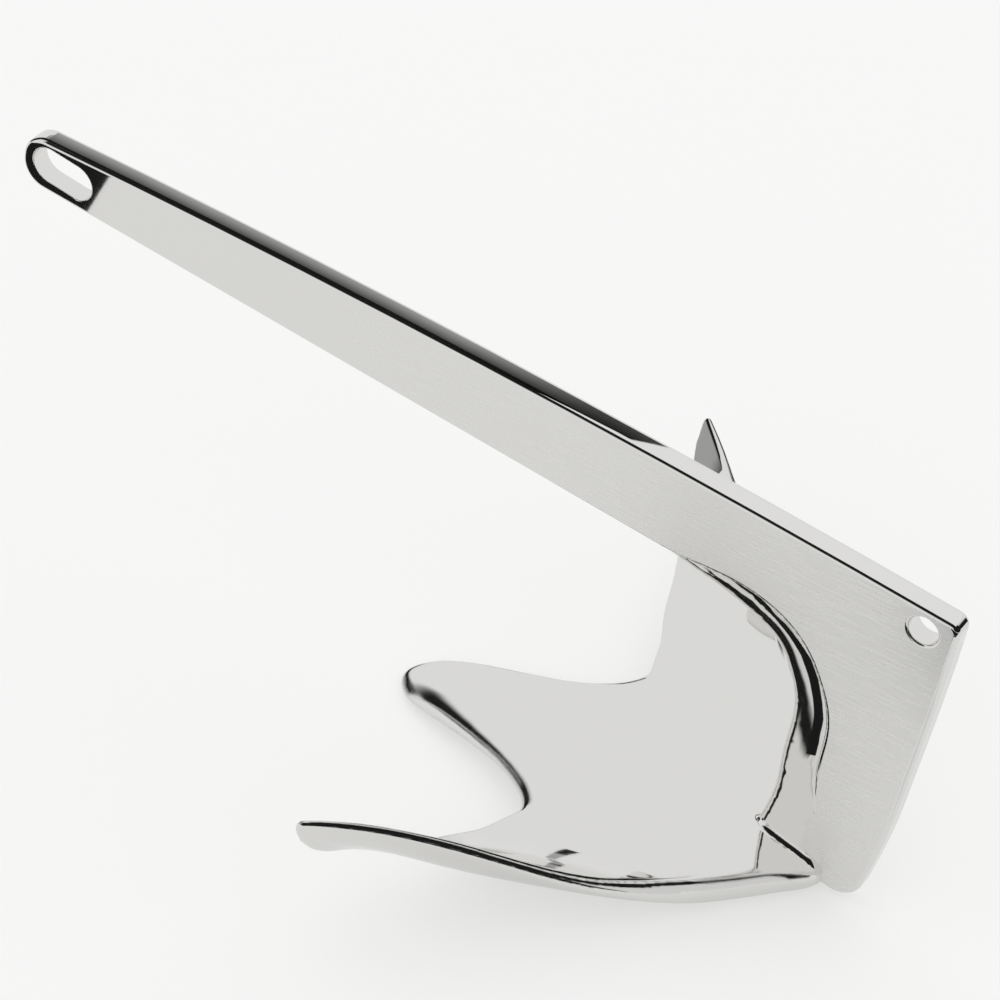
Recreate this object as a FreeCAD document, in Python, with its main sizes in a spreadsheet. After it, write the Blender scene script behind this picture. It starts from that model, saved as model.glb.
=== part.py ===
import FreeCAD, Part
import math
import os
import Sketcher
from FreeCAD import Base, Vector

os.makedirs("parts", exist_ok=True)
doc = FreeCAD.newDocument("ClawAnchor")

# Driving dimensions in millimetres and degrees

sheet = doc.addObject("Spreadsheet::Sheet", "Sizes")
SIZES = [
    ("plate_thickness", 12.6),
    ("eye_width", 20.0),
    ("eye_length", 36.0),
    ("eye_tilt", 4.8),
    ("eye_rim", 1.4),
    ("trip_bore", 15.5),
    ("trip_rim", 1.4),
    ("edge_round", 2.6),
    ("eye_end_round", 13.8),
    ("heel_round", 6.0),
    ("foot_corner", 14.0),
    ("inner_edge_depth", 19.0),
    ("inner_edge_inset", 1.5),
    ("claw_thickness", 20.0),
    ("foot_round", 3.5),
    ("rest_tilt", 4.4),
]
for row, (alias, value) in enumerate(SIZES, start=1):
    sheet.set("A%d" % row, alias.replace("_", " "))
    sheet.set("B%d" % row, str(value))
    sheet.setAlias("B%d" % row, alias)
doc.recompute()


def size(alias):
    return float(sheet.get(alias))


# A place on the anchor: along the shank from the heel, across, and below the shank's top
def spot(along, across, below):
    return Vector(-along, across, -below)


def flat(along, below):
    return Vector(-along, -below, 0)


# Shank: a flat plate cut to the outline of the side view
shank = doc.addObject("PartDesign::Body", "Shank")


def origin_plane(body, role):
    for feature in body.Origin.OriginFeatures:
        if feature.Role == role:
            return feature


def side_sketch(name):
    sketch = shank.newObject("Sketcher::SketchObject", name)
    sketch.AttachmentSupport = [(origin_plane(shank, "XZ_Plane"), "")]
    sketch.MapMode = "FlatFace"
    return sketch


def spline(points):
    curve = Part.BSplineCurve()
    curve.interpolate([flat(*point) for point in points])
    return curve


HEEL = (-1.8, -0.4)
ARCH = (262.0, -5.2)
END_TOP = (527.0, 3.2)
END_FOOT = (END_TOP[0], 31.8)
BEND = (150.0, 44.6)
INNER = [BEND, (128.0, 43.6), (112.0, 42.2), (99.0, 42.8), (85.0, 46.2), (74.0, 52.0), (65.5, 59.5),
         (57.0, 71.5), (50.5, 84.0), (46.8, 98.0), (46.2, 117.0), (44.6, 134.0), (40.8, 150.0),
         (40.0, 164.0), (45.0, 178.0), (56.0, 188.0)]
FOOT = (9.4, 194.5)
BACK = [FOOT, (6.4, 173.0), (3.2, 148.0), (1.0, 110.0), (-0.6, 70.0), (-1.6, 34.0), HEEL]

outline = side_sketch("SideOutline")
inner = Part.BSplineCurve()
lower = flat(*BEND) - flat(*END_FOOT)
inner.interpolate(Points=[flat(*point) for point in INNER], InitialTangent=lower,
                  FinalTangent=flat(12.0, 8.0), Scale=True)
outline.addGeometry(Part.Arc(flat(*HEEL), flat(*ARCH), flat(*END_TOP)), False)
outline.addGeometry(Part.LineSegment(flat(*END_TOP), flat(*END_FOOT)), False)
outline.addGeometry(Part.LineSegment(flat(*END_FOOT), flat(*BEND)), False)
outline.addGeometry(inner, False)
outline.addGeometry(Part.LineSegment(flat(*INNER[-1]), flat(*FOOT)), False)
outline.addGeometry(spline(BACK), False)
doc.recompute()

plate = shank.newObject("PartDesign::Pad", "Plate")
plate.Profile = outline
plate.Midplane = True
plate.setExpression("Length", "Sizes.plate_thickness")
doc.recompute()


# Names of the straight edges that run across the plate through the given corners
def across_edges(shape, corners):
    names = []
    for number, edge in enumerate(shape.Edges, start=1):
        box = edge.BoundBox
        if box.XLength + box.ZLength > 0.01:
            continue
        for along, below in corners:
            if abs(box.XMin + along) + abs(box.ZMin + below) < 0.05:
                names.append("Edge%d" % number)
    return names


def round_off(name, base, edges, radius):
    fillet = shank.newObject("PartDesign::Fillet", name)
    fillet.Base = (base, edges)
    if isinstance(radius, str):
        fillet.setExpression("Radius", radius)
    else:
        fillet.Radius = radius
    doc.recompute()
    return fillet


nose = round_off("EyeEnd", plate, across_edges(plate.Shape, [END_TOP, END_FOOT]), "Sizes.eye_end_round")
heel = round_off("HeelCorner", nose, across_edges(nose.Shape, [HEEL]), "Sizes.heel_round")
toe = round_off("FootCorner", heel, across_edges(heel.Shape, [FOOT]), "Sizes.foot_corner")


# Names of the edges of both flat sides, above the buried foot
def side_edges(shape):
    names = []
    for number, edge in enumerate(shape.Edges, start=1):
        box = edge.BoundBox
        if box.YLength > 0.01 or abs(box.YMin) < 1:
            continue
        middle = edge.valueAt((edge.FirstParameter + edge.LastParameter) / 2)
        if middle.z > -191:
            names.append("Edge%d" % number)
    return names


edges = round_off("LongEdges", toe, side_edges(toe.Shape), "Sizes.edge_round")


# Eye: a long slot for the shackle, through the front end of the shank
EYE = (END_TOP[0] - 24.1, END_TOP[1] + 14.1)
eye = side_sketch("EyeSlot")
eye_half = size("eye_width") / 2
eye_reach = size("eye_length") / 2 - eye_half
lean = math.radians(size("eye_tilt"))
run = flat(-math.cos(lean), math.sin(lean))
side = Vector(-run.y, run.x, 0)
front_end = flat(*EYE) - run * eye_reach
back_end = flat(*EYE) + run * eye_reach
eye.addGeometry(Part.LineSegment(front_end + side * eye_half, back_end + side * eye_half), False)
eye.addGeometry(Part.Arc(back_end + side * eye_half, back_end + run * eye_half, back_end - side * eye_half),
                False)
eye.addGeometry(Part.LineSegment(back_end - side * eye_half, front_end - side * eye_half), False)
eye.addGeometry(Part.Arc(front_end - side * eye_half, front_end - run * eye_half,
                         front_end + side * eye_half), False)

# Trip hole: a round bore through the heel
TRIP = (15.1, 11.7)
trip = side_sketch("TripCircle")
trip.addGeometry(Part.Circle(flat(*TRIP), Vector(0, 0, 1), 5.0), False)
trip.addConstraint(Sketcher.Constraint("Diameter", 0, 10.0))
trip.setExpression("Constraints[0]", "Sizes.trip_bore")
doc.recompute()


def cut_through(name, sketch):
    pocket = shank.newObject("PartDesign::Pocket", name)
    pocket.Profile = sketch
    pocket.Type = "ThroughAll"
    pocket.Midplane = True
    doc.recompute()
    return pocket


# Names of the rim edges that an opening leaves on both flat sides
def rim_edges(shape, centre, reach):
    names = []
    for number, edge in enumerate(shape.Edges, start=1):
        box = edge.BoundBox
        if box.YLength > 0.01 or abs(abs(box.YMin) - half) > 0.01:
            continue
        if abs(box.XMin + centre[0]) < reach and abs(box.XMax + centre[0]) < reach:
            if abs(box.ZMin + centre[1]) < reach and abs(box.ZMax + centre[1]) < reach:
                names.append("Edge%d" % number)
    return names


half = size("plate_thickness") / 2
whole = edges.Shape.Volume
eye_cut = cut_through("Eye", eye)
trip_cut = cut_through("TripHole", trip)
if whole - trip_cut.Shape.Volume < size("plate_thickness") * size("eye_width") * size("eye_width"):
    raise RuntimeError("the eye or the trip hole was not cut")
eye_rim = round_off("EyeRim", trip_cut, rim_edges(trip_cut.Shape, EYE, size("eye_length") / 2 + 0.5),
                    "Sizes.eye_rim")
trip_rim = round_off("TripRim", eye_rim, rim_edges(eye_rim.Shape, TRIP, size("trip_bore") / 2 + 0.5),
                     "Sizes.trip_rim")

# Inner edge: the plate runs out into a long pointed oval that deepens toward the claw. Each row
# has a place on the plate's flat, how far the oval reaches from it, and how far back it starts
deepen = size("inner_edge_depth") / 19.0
INNER_EDGE = [
    ((178.0, 43.8), 5.4, 5.6), ((160.0, 44.3), 5.6, 4.6), ((145.0, 44.3), 6.6, 3.0),
    ((128.0, 43.5), 9.5, 1.5), ((112.0, 42.3), 12.5, 0.5), ((99.0, 42.9), 14.5, 0.0),
    ((85.0, 46.2), 16.0, 0.0), ((74.0, 52.0), 16.5, 0.0), ((65.5, 59.5), 17.0, 0.0),
    ((57.0, 71.5), 18.0, 0.0), ((50.5, 84.0), 19.0, 0.0), ((46.8, 98.0), 19.5, 0.0),
    ((46.2, 117.0), 19.5, 0.0), ((44.6, 134.0), 21.0, 0.0), ((40.8, 150.0), 24.0, 0.0),
    ((40.0, 164.0), 26.0, 0.0), ((40.5, 178.0), 27.0, 0.0), ((41.5, 192.0), 27.0, 0.0),
]
flat_path = Part.BSplineCurve()
flat_path.interpolate([spot(place[0], 0, place[1]) for place, reach, back in INNER_EDGE])
tip_points = []
back_points = []
for place, reach, back in INNER_EDGE:
    where = flat_path.parameter(spot(place[0], 0, place[1]))
    outward = Vector(0, 1, 0).cross(flat_path.tangent(where)[0])
    tip_points.append(spot(place[0], 0, place[1]) + outward * (reach * deepen - back))
    back_points.append(spot(place[0], 0, place[1]) - outward * back)
tip_path = Part.BSplineCurve()
tip_path.interpolate(tip_points)
back_path = Part.BSplineCurve()
back_path.interpolate(back_points)


# The point at a share of the way along a curve
def at_share(curve, share):
    return curve.value(curve.FirstParameter + share * (curve.LastParameter - curve.FirstParameter))


# Half an oval at each station, closed inside the plate's metal. It stands between the plate's
# rounded edges along the throat, and widens until it is flush with the flat sides at the foot
SECTIONS = 14
FLUSH = 0.05
WIDENS = (0.66, 0.86)
inset = size("inner_edge_inset")
sections = []
for number in range(SECTIONS + 1):
    share = number / SECTIONS
    start = at_share(back_path, share)
    tip = at_share(tip_path, share)
    outward = (tip - start).normalize()
    reach = tip.distanceToPoint(start)
    ease = min(max((share - WIDENS[0]) / (WIDENS[1] - WIDENS[0]), 0.0), 1.0)
    wide = half - FLUSH - (inset - FLUSH) * (1 - ease * ease * (3 - 2 * ease))
    points = []
    for k in range(9):
        turn = k * math.pi / 8
        points.append(start + outward * reach * math.sin(turn) + Vector(0, -wide * math.cos(turn), 0))
    oval = Part.BSplineCurve()
    oval.interpolate(Points=points, InitialTangent=outward, FinalTangent=outward * -1, Scale=True)
    inside = outward * -7
    corners = [points[-1], points[-1] + inside, points[0] + inside, points[0]]
    sections.append(Part.Wire([oval.toShape()] + Part.makePolygon(corners).Edges))
inner_shape = Part.makeLoft(sections, True, False)
if inner_shape.Volume < 0:
    inner_shape.reverse()
inner_edge = doc.addObject("Part::Feature", "InnerEdge")
inner_edge.Shape = inner_shape

# Claw: the scoop's inner skin passes through these rows of points, from the middle out to the
# right-hand tip, each with the metal's thickness there; the left half mirrors it
SCOOP = [
    [(21.6, 0.0, 189.5, 11.7), (37.8, 0.0, 181.1, 15.8), (67.5, 0.0, 178.9, 18.9),
     (157.5, 0.0, 190.6, 13.5), (279.9, 0.0, 215.8, 4.0)],
    [(32.9, 19.8, 181.3, 11.2), (50.4, 21.6, 178.9, 16.7), (81.0, 24.8, 180.0, 19.8),
     (157.5, 29.7, 190.6, 11.2), (270.0, 35.1, 213.5, 2.2)],
    [(47.7, 36.9, 178.4, 11.2), (67.5, 39.6, 178.9, 18.9), (96.8, 43.2, 181.8, 20.7),
     (150.8, 49.1, 189.5, 10.3), (225.0, 57.6, 203.8, 2.7)],
    [(69.3, 59.9, 176.0, 9.9), (87.8, 62.6, 178.4, 17.1), (112.5, 65.7, 182.5, 18.4),
     (149.0, 72.1, 188.1, 11.6), (192.0, 79.0, 194.5, 2.7)],
    [(97.2, 88.7, 170.8, 6.8), (120.6, 90.0, 176.6, 12.2), (139.7, 91.1, 181.1, 13.5),
     (157.5, 92.2, 185.0, 10.3), (182.1, 93.6, 189.7, 5.0)],
    [(127.4, 113.0, 160.1, 5.0), (146.0, 114.5, 167.4, 9.0), (159.3, 115.7, 172.6, 9.9),
     (172.6, 116.8, 177.1, 7.9), (191.2, 118.4, 182.8, 4.0)],
    [(155.9, 135.0, 146.7, 4.5), (169.2, 136.3, 155.9, 7.0), (178.2, 137.0, 162.0, 7.4),
     (187.2, 137.8, 167.2, 5.9), (200.5, 139.1, 175.0, 3.4)],
    [(185.3, 158.4, 135.9, 4.0), (192.7, 158.4, 145.6, 5.4), (197.3, 158.4, 151.4, 5.6),
     (202.0, 158.4, 156.8, 4.7), (209.3, 158.4, 165.2, 3.1)],
    [(202.4, 172.6, 131.2, 3.6), (206.7, 173.0, 140.4, 4.5), (209.0, 173.2, 145.5, 4.5),
     (211.4, 173.5, 150.3, 4.0), (215.6, 173.9, 159.2, 2.9)],
    [(212.1, 181.0, 130.1, 3.1), (214.3, 180.8, 137.8, 3.6), (215.3, 180.7, 141.4, 3.6),
     (216.4, 180.6, 144.9, 3.4), (218.6, 180.3, 152.8, 2.9)],
    [(220.7, 189.9, 128.7, 2.7), (221.4, 189.2, 135.5, 2.9), (221.5, 188.8, 138.8, 2.9),
     (221.6, 188.6, 142.2, 2.9), (221.8, 187.7, 149.4, 2.7)],
]

REAR_RIM = [(27.9, 0.0, 185.4), (28.8, 5.4, 184.7), (39.1, 20.2, 180.0), (52.6, 36.0, 178.4),
    (65.7, 50.4, 177.1), (81.9, 67.0, 176.0), (104.4, 89.1, 172.6), (132.8, 113.4, 162.2),
    (160.2, 135.5, 149.6), (188.1, 158.4, 139.3), (204.3, 172.8, 135.5), (211.5, 179.1, 134.5),
    (215.3, 182.9, 134.2)]
TIP = [(217.6, 185.4, 134.8), (218.2, 185.7, 137.2)]
FRONT_RIM = [(218.4, 184.3, 140.8), (217.8, 181.6, 146.7), (215.6, 177.8, 152.1),
    (211.5, 168.8, 157.7), (206.6, 158.4, 162.0), (196.2, 138.6, 172.3), (185.8, 117.9, 180.9),
    (180.5, 103.5, 185.4), (175.1, 93.2, 188.1), (169.9, 82.8, 190.3), (166.1, 70.2, 190.8),
    (164.0, 63.0, 189.9), (164.5, 57.6, 190.1), (167.4, 52.6, 191.5), (174.2, 45.9, 192.2),
    (184.5, 39.6, 193.5), (194.0, 35.1, 195.3), (208.3, 30.6, 198.5), (221.8, 27.0, 201.2),
    (242.6, 22.1, 205.7), (252.5, 18.9, 208.3), (260.1, 14.8, 210.2), (265.5, 9.0, 212.0),
    (268.7, 2.7, 213.1)]


thick = size("claw_thickness") / 20.0
rows = [[(a, -y, d, w) for a, y, d, w in row] for row in reversed(SCOOP[1:])] + SCOOP
upper = Part.BSplineSurface()
upper.interpolate([[spot(a, y, d) for a, y, d, w in row] for row in rows])


into_metal = 1.0 if upper.normal(0.5, 0.5).z < 0 else -1.0
lower_rows = []
for row in rows:
    line = []
    for a, y, d, w in row:
        point = spot(a, y, d)
        line.append(point + upper.normal(*upper.parameter(point)) * into_metal * w * thick)
    lower_rows.append(line)
lower = Part.BSplineSurface()
lower.interpolate(lower_rows)

right = REAR_RIM[1:] + TIP + FRONT_RIM
left = [(a, -y, d) for a, y, d in reversed(right)]
loop = [spot(*point) for point in [REAR_RIM[0]] + right + left]
rim = Part.BSplineCurve()
rim.interpolate(Points=loop, PeriodicFlag=True)
# Stations along the rim, closer together where it turns tightly, mirrored about the middle
first, last = rim.FirstParameter, rim.LastParameter
half_way = (first + last) / 2


# Distance to the next station: short where the line is about to turn tightly
def stride_at(where):
    pace = rim.getD1(where)[1].Length
    bends = [rim.curvature(where + ahead / pace) for ahead in (0.0, 1.5, 4.0)]
    return min(max(0.3 / max(bends[0], 1e-6), 1.0), max(0.5 / max(bends[1:]), 1.5), 6.5)


stations = []
where = first
stride = 1.0
while where < half_way:
    stations.append(where)
    stride = min(stride_at(where), stride * 1.5)
    where = where + stride / rim.getD1(where)[1].Length
stations += [first + last - place for place in reversed(stations[1:])]

marks = []
rim_rows = []
for where in stations:
    u, v = upper.parameter(rim.value(where))
    marks.append((u, v))
    outward = (upper.normal(u, v) * into_metal).cross(rim.tangent(where)[0])
    rim_rows.append((upper.value(u, v), lower.value(u, v), outward))


# The rim line in the skins' own coordinates, and the two edges it makes on them
line = Part.Geom2d.BSplineCurve2d()
line.interpolate([Base.Vector2d(*mark) for mark in marks + marks[:1]])
knots = [line.parameter(Base.Vector2d(*mark)) for mark in marks[1:]]
knots = [line.FirstParameter] + knots + [line.LastParameter]
count = len(marks)
cuts = [0, count // 6, count // 3, count // 2, count - count // 3, count - count // 6, count]
spans = [(knots[start], knots[end]) for start, end in zip(cuts, cuts[1:])]
upper_edges = [line.toShape(upper, start, end) for start, end in spans]
lower_edges = [line.toShape(lower, start, end) for start, end in spans]


# Rounded rim: half an oval from the upper skin round to the lower one, in narrow strips
def rim_ring(turn):
    ring = []
    for top, bottom, outward in rim_rows + rim_rows[:1]:
        middle = (top + bottom) * 0.5
        up = top - middle
        bulge = outward.normalize() * min(up.Length, 4.2)
        ring.append(middle + up * math.cos(turn) + bulge * math.sin(turn))
    curve = Part.BSplineCurve()
    curve.interpolate(Points=ring, Parameters=knots)
    return [curve.toShape(start, end) for start, end in spans]


STRIPS = 8
rings = [upper_edges] + [rim_ring(k * math.pi / STRIPS) for k in range(1, STRIPS)] + [lower_edges]
faces = [Part.Face(upper, Part.Wire(upper_edges)), Part.Face(lower, Part.Wire(lower_edges))]
for above, below in zip(rings, rings[1:]):
    faces += [Part.makeRuledSurface(first_edge, next_edge, 1) for first_edge, next_edge in zip(above, below)]
shell = Part.Compound(faces)
shell.sewShape(0.02)
claw_shape = Part.makeSolid(shell)
if claw_shape.Volume < 0:
    claw_shape.reverse()
claw = doc.addObject("Part::Feature", "Claw")
claw.Shape = claw_shape
doc.recompute()
joined = doc.addObject("Part::MultiFuse", "Joined")
joined.Shapes = [shank, inner_edge, claw]
doc.recompute()


# Foot round: a hollow round where the shank's sides and inner edge meet the scoop's upper skin
upper_skin = faces[0]
foot_radius = size("foot_round")


def foot_edges(shape):
    names = []
    for number, edge in enumerate(shape.Edges, start=1):
        box = edge.BoundBox
        if max(box.YMax, -box.YMin) > half + foot_radius:
            continue
        marks_on = [Part.Vertex(point) for point in edge.discretize(4)]
        if max(upper_skin.distToShape(mark)[0] for mark in marks_on) > 0.03:
            continue
        on_plate = max(trip_rim.Shape.Shells[0].distToShape(mark)[0] for mark in marks_on)
        on_oval = max(inner_shape.Shells[0].distToShape(mark)[0] for mark in marks_on)
        if min(on_plate, on_oval) < 0.03:
            names.append(number)
    return names


foot = doc.addObject("Part::Fillet", "FootRound")
foot.Base = joined
foot.Edges = [(number, foot_radius, foot_radius) for number in foot_edges(joined.Shape)]
doc.recompute()

# At rest two low places under the crown and the middle fluke's tip touch the ground, the shackle
# end is raised, and the origin is on the ground below the middle of the anchor's box
turn = Base.Rotation(Vector(0, 1, 0), size("rest_tilt"))
points = [turn.multVec(point) for point in foot.Shape.tessellate(0.2)[0]]
middle = (min(point.x for point in points) + max(point.x for point in points)) / 2
ground = min(point.z for point in points)
anchor = doc.addObject("Part::Feature", "Anchor")
anchor.Label = "claw_anchor"
anchor.Shape = foot.Shape.Solids[0]
anchor.Placement = Base.Placement(Vector(-middle, 0, -ground), turn)
doc.recompute()

# Nothing is written unless every step was built and the anchor is one sound solid
for step in doc.Objects:
    if "Invalid" in step.State or "Error" in step.State:
        raise RuntimeError("could not be built: " + step.Label)
for step in (shank, inner_edge, claw, joined, foot, anchor):
    if step.Shape.isNull() or not step.Shape.isValid() or len(step.Shape.Solids) != 1:
        raise RuntimeError("is not one sound solid: " + step.Label)
anchor.Shape.exportStep("parts/claw_anchor.step")
print("anchor placed at", round(-middle, 4), round(-ground, 4), "volume", round(anchor.Shape.Volume))
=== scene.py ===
import math

import bmesh
import bpy
from mathutils import Matrix, Vector

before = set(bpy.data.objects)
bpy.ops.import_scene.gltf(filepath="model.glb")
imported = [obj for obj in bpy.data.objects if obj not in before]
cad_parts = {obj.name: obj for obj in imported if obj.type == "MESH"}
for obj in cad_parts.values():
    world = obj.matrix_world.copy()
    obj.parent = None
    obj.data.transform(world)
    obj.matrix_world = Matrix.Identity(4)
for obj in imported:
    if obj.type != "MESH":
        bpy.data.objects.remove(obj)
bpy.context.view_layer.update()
scene = bpy.context.scene
scene.view_settings.view_transform = "Standard"

# Camera
# A long lens from the right of the anchor and above it, turned a few degrees about its own
# axis, so that the shank runs from the upper left down to the heel at the right.
CAMERA_AT = Vector((0.7224, -1.2945, 1.3778))
CAMERA_AIM = Vector((0.0654, -0.0838, 0.2190))
CAMERA_ROLL = math.radians(6.23)
LENS = 144.0
SENSOR_WIDTH = 36.0
CLIP_END = 60.0

camera_data = bpy.data.cameras.new("Camera")
camera_data.lens = LENS
camera_data.sensor_width = SENSOR_WIDTH
camera_data.clip_end = CLIP_END
camera = bpy.data.objects.new("Camera", camera_data)
scene.collection.objects.link(camera)
aim = (CAMERA_AIM - CAMERA_AT).to_track_quat("-Z", "Y").to_matrix().to_4x4()
camera.matrix_world = Matrix.Translation(CAMERA_AT) @ aim @ Matrix.Rotation(CAMERA_ROLL, 4, "Z")
scene.camera = camera


# Anchor
# One piece of cast stainless steel, ground smooth and polished. The rounded edges, the inner
# edge and the claw are buffed to a mirror; the shank's flat sides keep a softer belt finish.
STEEL = (0.83, 0.825, 0.808, 1.0)
MIRROR_ROUGHNESS = (0.035, 0.065)
SATIN_ROUGHNESS = (0.12, 0.30)
SATIN_RUN = (-0.17, -0.02)
SATIN_PATCHES = (0.85, 1.15)
PLATE_HALF = 0.0063
FLAT_WITHIN = (0.00012, 0.00006)
FLAT_FACING = (0.985, 0.995)
GRAIN_PITCH = (60.0, 900.0, 900.0)
GRAIN_DETAIL = 3.0
GRAIN_SPREAD = (0.3, 0.7)
GRAIN_HEIGHT = 0.0000012
WAVE_PITCH = 45.0
WAVE_DETAIL = 1.0
WAVE_HEIGHT = 0.00008
SHARP_RIM = 0.0018
BUFFED_RIM = 0.0070
RIM_SAMPLES = 16
BUFFED_INNER_END = (0.004, -0.010)
BUFFED_OUTER_END = (-0.062, -0.052)
MIDDLE_FLUKE_BACK = (0.150, 0.130)
MIDDLE_FLUKE_TOP = (0.110, 0.100)
BESIDE_SHANK = (0.010, 0.016)


def math_step(tree, operation, first, second=None):
    node = tree.nodes.new("ShaderNodeMath")
    node.operation = operation
    for number, value in enumerate((first, second)):
        if isinstance(value, (int, float)):
            node.inputs[number].default_value = value
        elif value is not None:
            tree.links.new(value, node.inputs[number])
    return node.outputs[0]


def ramp(tree, value, start, end, low=0.0, high=1.0):
    node = tree.nodes.new("ShaderNodeMapRange")
    node.interpolation_type = "SMOOTHSTEP"
    tree.links.new(value, node.inputs["Value"])
    node.inputs["From Min"].default_value = start
    node.inputs["From Max"].default_value = end
    node.inputs["To Min"].default_value = low
    node.inputs["To Max"].default_value = high
    return node.outputs["Result"]


def part_of(tree, vector, axis):
    node = tree.nodes.new("ShaderNodeSeparateXYZ")
    tree.links.new(vector, node.inputs[0])
    return node.outputs[axis]


def noise(tree, vector, pitch, detail):
    node = tree.nodes.new("ShaderNodeTexNoise")
    node.inputs["Scale"].default_value = pitch
    node.inputs["Detail"].default_value = detail
    tree.links.new(vector, node.inputs["Vector"])
    return node.outputs[0]


def bump(tree, height, distance, normal):
    node = tree.nodes.new("ShaderNodeBump")
    node.inputs["Distance"].default_value = distance
    tree.links.new(height, node.inputs["Height"])
    tree.links.new(normal, node.inputs["Normal"])
    return node.outputs["Normal"]


polished = bpy.data.materials.new("PolishedStainless")
polished.use_nodes = True
tree = polished.node_tree
shader = tree.nodes["Principled BSDF"]
shader.inputs["Base Color"].default_value = STEEL
shader.inputs["Metallic"].default_value = 1.0

surface = tree.nodes.new("ShaderNodeTexCoord")
along = part_of(tree, surface.outputs["Object"], "X")
side = part_of(tree, surface.outputs["Object"], "Y")
up = part_of(tree, surface.outputs["Object"], "Z")
across = math_step(tree, "ABSOLUTE", side)
facing = math_step(tree, "ABSOLUTE", part_of(tree, surface.outputs["Normal"], "Y"))
off_plate = math_step(tree, "ABSOLUTE", math_step(tree, "SUBTRACT", across, PLATE_HALF))
flat_side = math_step(tree, "MULTIPLY", ramp(tree, off_plate, *FLAT_WITHIN),
                      ramp(tree, facing, *FLAT_FACING))

# The belt's marks run along the shank, and its finish gets softer from the eye toward the claw
drawn_out = tree.nodes.new("ShaderNodeVectorMath")
drawn_out.operation = "MULTIPLY"
tree.links.new(surface.outputs["Object"], drawn_out.inputs[0])
drawn_out.inputs[1].default_value = GRAIN_PITCH
grain = noise(tree, drawn_out.outputs[0], 1.0, GRAIN_DETAIL)
mirror = ramp(tree, grain, *GRAIN_SPREAD, *MIRROR_ROUGHNESS)
satin = math_step(tree, "MULTIPLY", ramp(tree, along, *SATIN_RUN, *SATIN_ROUGHNESS),
                  ramp(tree, grain, *GRAIN_SPREAD, *SATIN_PATCHES))
finish = tree.nodes.new("ShaderNodeMix")
tree.links.new(flat_side, finish.inputs[0])
tree.links.new(mirror, finish.inputs[2])
tree.links.new(satin, finish.inputs[3])
tree.links.new(finish.outputs[0], shader.inputs["Roughness"])

# The claw's rims are eased by the buffing wheel, most of all the middle fluke's near rim
buffed = math_step(tree, "MULTIPLY", ramp(tree, side, *BUFFED_INNER_END),
                   ramp(tree, side, *BUFFED_OUTER_END))
eased = tree.nodes.new("ShaderNodeBevel")
eased.samples = RIM_SAMPLES
tree.links.new(ramp(tree, buffed, 0.0, 1.0, SHARP_RIM, BUFFED_RIM), eased.inputs["Radius"])
middle_fluke = math_step(tree, "MULTIPLY", ramp(tree, along, *MIDDLE_FLUKE_BACK),
                         ramp(tree, up, *MIDDLE_FLUKE_TOP))
on_claw = math_step(tree, "MAXIMUM", middle_fluke, ramp(tree, across, *BESIDE_SHANK))
form = tree.nodes.new("ShaderNodeMix")
form.data_type = "VECTOR"
tree.links.new(on_claw, form.inputs[0])
tree.links.new(tree.nodes.new("ShaderNodeNewGeometry").outputs["Normal"], form.inputs[4])
tree.links.new(eased.outputs["Normal"], form.inputs[5])

# Hand polishing leaves every face a little wavy, under the finer marks of the belt
wave = noise(tree, surface.outputs["Object"], WAVE_PITCH, WAVE_DETAIL)
wavy = bump(tree, wave, WAVE_HEIGHT, form.outputs[1])
tree.links.new(bump(tree, grain, GRAIN_HEIGHT, wavy), shader.inputs["Normal"])
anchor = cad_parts["claw_anchor"]
for material_slot in anchor.material_slots:
    material_slot.material = polished


# Tent
# A white tent all round, which the camera and the floor see as plain white. The metal alone
# sees the large black cards in it: behind the camera, at the right, high up, behind and left.
TENT_WHITE = 0.965
TENT_IN_METAL = 0.83
CARD_BLACK = 0.012
CAMERA_CARD = ((20.0, 42.0), 0.56, 0.68)
CAMERA_CARD_FOOT = (0.10, 0.42)
RIGHT_CARD = ((80.0, 5.0), 0.44, 0.53)
HIGH_CARD = ((135.0, 58.0), 0.920, 0.950)
BACK_CARD = ((172.0, 12.0), 0.855, 0.885)
LEFT_CARD = ((-107.0, 17.0), 0.84, 0.866)
SECOND_BOUNCE = (1.3, 1.7)
UPRIGHT_ACROSS = -152.5
UPRIGHT_EDGES = ((-0.10, -0.03), (0.20, 0.07))
UPRIGHT_FACES = -62.0
UPRIGHT_END = (0.10, 0.30)

world = bpy.data.worlds.new("Tent")
scene.world = world
world.use_nodes = True
tree = world.node_tree
background = tree.nodes["Background"]
direction = tree.nodes.new("ShaderNodeTexCoord").outputs["Generated"]
rays = tree.nodes.new("ShaderNodeLightPath")


def heading(turn, rise=0.0):
    turn, rise = math.radians(turn), math.radians(rise)
    return Vector((math.sin(turn) * math.cos(rise), -math.cos(turn) * math.cos(rise), math.sin(rise)))


def toward(tree, direction, aim_at):
    node = tree.nodes.new("ShaderNodeVectorMath")
    node.operation = "DOT_PRODUCT"
    tree.links.new(direction, node.inputs[0])
    node.inputs[1].default_value = aim_at
    return node.outputs["Value"]


def round_card(tree, direction, place, soft, full):
    return ramp(tree, toward(tree, direction, heading(*place)), soft, full)


again = ramp(tree, rays.outputs["Glossy Depth"], *SECOND_BOUNCE)
once = math_step(tree, "SUBTRACT", 1.0, again)
height = toward(tree, direction, Vector((0.0, 0.0, 1.0)))
dark = math_step(tree, "MULTIPLY", round_card(tree, direction, *CAMERA_CARD),
                 ramp(tree, height, *CAMERA_CARD_FOOT))
for card in (RIGHT_CARD, HIGH_CARD, BACK_CARD, LEFT_CARD):
    dark = math_step(tree, "MAXIMUM", dark, round_card(tree, direction, *card))
dark = math_step(tree, "MULTIPLY", dark, once)

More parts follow.
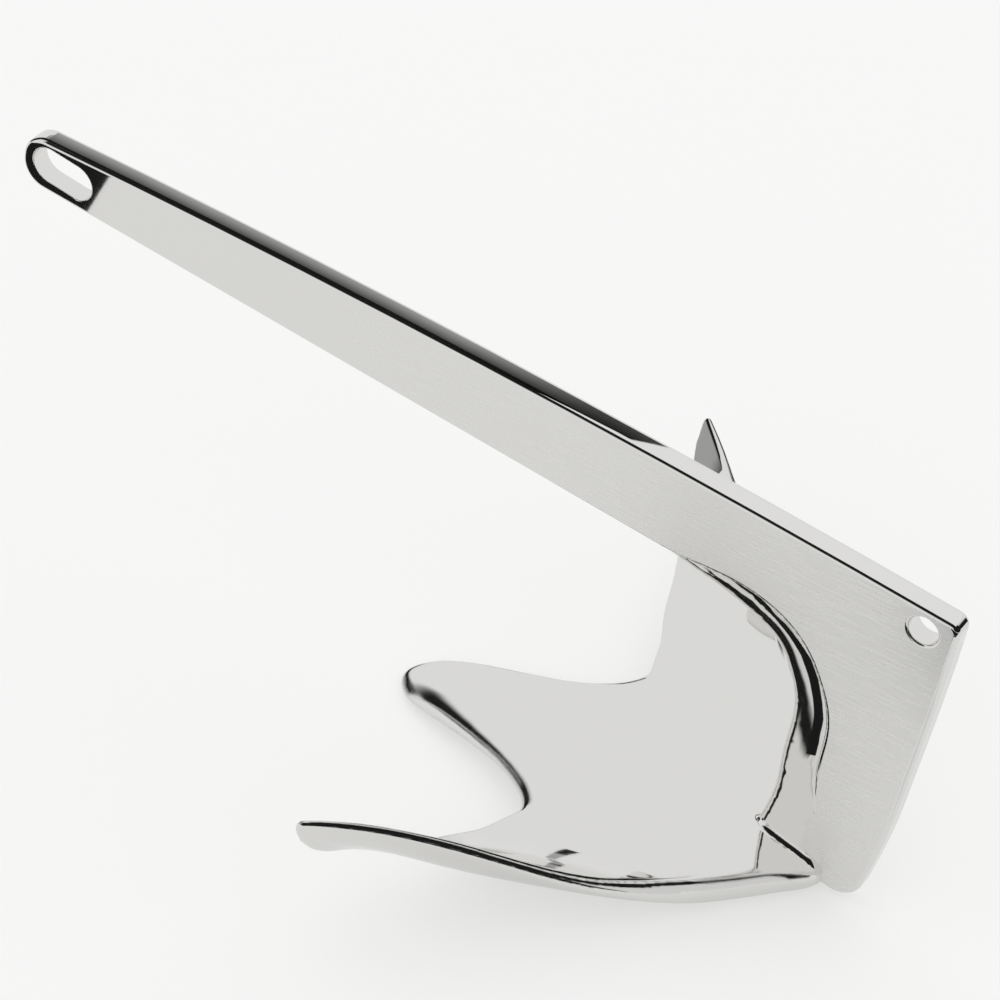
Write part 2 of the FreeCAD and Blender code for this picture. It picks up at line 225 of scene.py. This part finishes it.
# A narrow upright card at the left, which the scoop throws on to the shank's inner edge
upright_across = toward(tree, direction, heading(UPRIGHT_ACROSS))
upright = ramp(tree, toward(tree, direction, heading(UPRIGHT_FACES)), *UPRIGHT_END)
for edge in UPRIGHT_EDGES:
    upright = math_step(tree, "MULTIPLY", upright, ramp(tree, upright_across, *edge))
dark = math_step(tree, "MAXIMUM", dark, math_step(tree, "MULTIPLY", upright, again))
dark = math_step(tree, "MULTIPLY", dark, rays.outputs["Is Glossy Ray"])
white = math_step(tree, "MULTIPLY", rays.outputs["Is Glossy Ray"], TENT_IN_METAL - TENT_WHITE)
white = math_step(tree, "ADD", white, TENT_WHITE)
glow = math_step(tree, "SUBTRACT", white, math_step(tree, "MULTIPLY", dark, TENT_IN_METAL - CARD_BLACK))
tree.links.new(glow, background.inputs["Strength"])
background.inputs["Color"].default_value = (1.0, 1.0, 1.0, 1.0)


# Floor
# A round sheet of matt white board, wide enough to run out of the picture on every side. It
# glows a little where it is looked at, so that the anchor's shadow on it stays a pale grey.
FLOOR_RADIUS = 2.2
FLOOR_SIDES = 96
FLOOR_WHITE = (0.97, 0.97, 0.965, 1.0)
FLOOR_IN_METAL = 0.695
SHADOW_LIFT = 0.5

floor_paint = bpy.data.materials.new("FloorPaint")
floor_paint.use_nodes = True
tree = floor_paint.node_tree
board = tree.nodes["Principled BSDF"]
board.inputs["Base Color"].default_value = FLOOR_WHITE
board.inputs["Roughness"].default_value = 1.0
board.inputs["Specular IOR Level"].default_value = 0.0
board_glow = tree.nodes.new("ShaderNodeEmission")
board_glow.inputs["Color"].default_value = FLOOR_WHITE
rays = tree.nodes.new("ShaderNodeLightPath")
in_metal = math_step(tree, "MULTIPLY", rays.outputs["Is Glossy Ray"], FLOOR_IN_METAL - TENT_WHITE)
tree.links.new(math_step(tree, "ADD", in_metal, TENT_WHITE), board_glow.inputs["Strength"])
seen = math_step(tree, "MAXIMUM", rays.outputs["Is Camera Ray"], rays.outputs["Is Glossy Ray"])
lifted = tree.nodes.new("ShaderNodeMixShader")
tree.links.new(math_step(tree, "MULTIPLY", seen, SHADOW_LIFT), lifted.inputs[0])
tree.links.new(board.outputs[0], lifted.inputs[1])
tree.links.new(board_glow.outputs[0], lifted.inputs[2])
tree.links.new(lifted.outputs[0], tree.nodes["Material Output"].inputs["Surface"])

floor_mesh = bmesh.new()
bmesh.ops.create_circle(floor_mesh, cap_ends=True, segments=FLOOR_SIDES, radius=FLOOR_RADIUS)
floor_data = bpy.data.meshes.new("Floor")
floor_mesh.to_mesh(floor_data)
floor_mesh.free()
floor_data.materials.append(floor_paint)
floor = bpy.data.objects.new("Floor", floor_data)
scene.collection.objects.link(floor)


# Card over the shank
# A long strip of thin card held just over the shank's top edge: black from the eye to above
# the claw, paler toward its far side, and white from there to the heel. A white skirt hangs
# from its far side and keeps the walls of the eye and of the trip hole light.
OVER_SHANK = [(-0.330, 0.2150), (-0.312, 0.2400), (-0.290, 0.2480), (-0.250, 0.2467), (-0.165, 0.2440),
              (-0.105, 0.2410), (-0.045, 0.2380), (0.012, 0.2340), (0.046, 0.2320), (0.069, 0.2300),
              (0.090, 0.2280), (0.113, 0.2260), (0.141, 0.2230), (0.174, 0.2200), (0.206, 0.2165),
              (0.250, 0.2122), (0.275, 0.2090)]
CARD_NEAR, CARD_FAR = -0.010, 0.0205
PALE_ACROSS = (0.008, 0.026)
PALE_LEVELS = (0.01, 0.53)
PALE_ALONG = (-0.030, 0.070)
PALE_FADES_TO = 0.16
WHITE_STARTS = (0.053, 0.056)
WHITE_SLANT = 2.2
WHITE_LEVEL = 0.86
SKIRT_GAP = 0.0007
SKIRT_DROP = 0.048


# A card glows by itself, and the camera, the floor and the shadows don't see it
def card_paint(name, strength=0.0):
    paint = bpy.data.materials.new(name)
    paint.use_nodes = True
    tree = paint.node_tree
    tree.nodes.remove(tree.nodes["Principled BSDF"])
    glow = tree.nodes.new("ShaderNodeEmission")
    glow.inputs["Strength"].default_value = strength
    tree.links.new(glow.outputs[0], tree.nodes["Material Output"].inputs["Surface"])
    return paint, glow.inputs["Strength"]


def hang_card(name, outline, pull, paint):
    sheet = bmesh.new()
    edge = [sheet.verts.new(point) for point in outline]
    for first, second in zip(edge, edge[1:]):
        sheet.edges.new((first, second))
    pulled = bmesh.ops.extrude_edge_only(sheet, edges=sheet.edges[:])["geom"]
    moved = [part for part in pulled if isinstance(part, bmesh.types.BMVert)]
    bmesh.ops.translate(sheet, verts=moved, vec=pull)
    data = bpy.data.meshes.new(name)
    sheet.to_mesh(data)
    sheet.free()
    data.materials.append(paint)
    hung = bpy.data.objects.new(name, data)
    scene.collection.objects.link(hung)
    hung.visible_camera = False
    hung.visible_diffuse = False
    hung.visible_shadow = False
    hung.visible_transmission = False


over_paint, over_strength = card_paint("OverShankPaint")
tree = over_paint.node_tree
on_card = tree.nodes.new("ShaderNodeTexCoord").outputs["Object"]
along, over = part_of(tree, on_card, "X"), part_of(tree, on_card, "Y")
pale = math_step(tree, "MULTIPLY", ramp(tree, over, *PALE_ACROSS, *PALE_LEVELS),
                 ramp(tree, along, *PALE_ALONG, 1.0, PALE_FADES_TO))
slanted = math_step(tree, "SUBTRACT", along, math_step(tree, "MULTIPLY", over, WHITE_SLANT))
white_end = ramp(tree, slanted, *WHITE_STARTS, 0.0, WHITE_LEVEL)
tree.links.new(math_step(tree, "MAXIMUM", pale, white_end), over_strength)
hang_card("OverShankCard", [(x, CARD_NEAR, z) for x, z in OVER_SHANK],
          (0.0, CARD_FAR - CARD_NEAR, 0.0), over_paint)
tent_paint = card_paint("TentPaint", TENT_IN_METAL)[0]
hang_card("SkirtCard", [(x, CARD_FAR + SKIRT_GAP, z) for x, z in OVER_SHANK],
          (0.0, 0.0, -SKIRT_DROP), tent_paint)


# Cards beside the shank
# Two small black cards, hung a little way off the shank's near face. A straight one darkens the
# rounded rim of the eye, and a bent one follows the throat and darkens the inner edge.
EYE_CARD = [(-0.300, -0.022, 0.222), (-0.219, -0.022, 0.222)]
EYE_CARD_PULL = (-0.022, 0.0, -0.047)
THROAT = [(0.148, 0.163), (0.156, 0.1605), (0.165, 0.1575), (0.176, 0.151), (0.186, 0.144),
          (0.195, 0.1365), (0.2005, 0.1265), (0.204, 0.115), (0.2065, 0.105), (0.2065, 0.092),
          (0.206, 0.082)]
THROAT_CARD_OFF = (-0.0044, -0.014, -0.0094)
THROAT_CARD_PULL = (-0.0065, 0.0, -0.0020)

hang_card("EyeCard", EYE_CARD, EYE_CARD_PULL, card_paint("EyeCardPaint", CARD_BLACK)[0])
off_x, off_y, off_z = THROAT_CARD_OFF
hang_card("ThroatCard", [(x + off_x, off_y, z + off_z) for x, z in THROAT],
          THROAT_CARD_PULL, card_paint("ThroatCardPaint", CARD_BLACK)[0])


# Cards round the claw
# Three upright cards and a black sheet, stood and laid on the floor. The card by the heel keeps
# the near fluke's root light, and the one in front of the notch keeps the scoop light. The
# graded one greys the far fluke, and the sheet draws the black rim of the near fluke.
HEEL_CARD = [(0.285, -0.135, 0.002), (0.285, -0.030, 0.002)]
HEEL_CARD_HEIGHT = 0.103
HEEL_CARD_LEVEL = 0.69
FLOOR_SHEET = [(0.185, -0.200, 0.003), (1.300, -0.200, 0.003)]
FLOOR_SHEET_DEPTH = 1.100
NOTCH_CARD = [(0.000, 0.050, 0.002), (0.000, 0.150, 0.002)]
NOTCH_CARD_HEIGHT = 0.165
FAR_FLUKE_CARD = [(-0.020, 0.145, 0.002), (-0.020, 0.205, 0.002)]
FAR_FLUKE_CARD_HEIGHT = 0.110
FAR_FLUKE_FADE = (0.052, 0.064)
FAR_FLUKE_LEVELS = (0.38, 0.01)

hang_card("HeelCard", HEEL_CARD, (0.0, 0.0, HEEL_CARD_HEIGHT),
          card_paint("HeelCardPaint", HEEL_CARD_LEVEL)[0])
hang_card("FloorSheet", FLOOR_SHEET, (0.0, -FLOOR_SHEET_DEPTH, 0.0),
          card_paint("FloorSheetPaint", CARD_BLACK)[0])
hang_card("NotchCard", NOTCH_CARD, (0.0, 0.0, NOTCH_CARD_HEIGHT), tent_paint)
far_paint, far_strength = card_paint("FarFlukePaint")
tree = far_paint.node_tree
up = part_of(tree, tree.nodes.new("ShaderNodeTexCoord").outputs["Object"], "Z")
tree.links.new(ramp(tree, up, *FAR_FLUKE_FADE, *FAR_FLUKE_LEVELS), far_strength)
hang_card("FarFlukeCard", FAR_FLUKE_CARD, (0.0, 0.0, FAR_FLUKE_CARD_HEIGHT), far_paint)
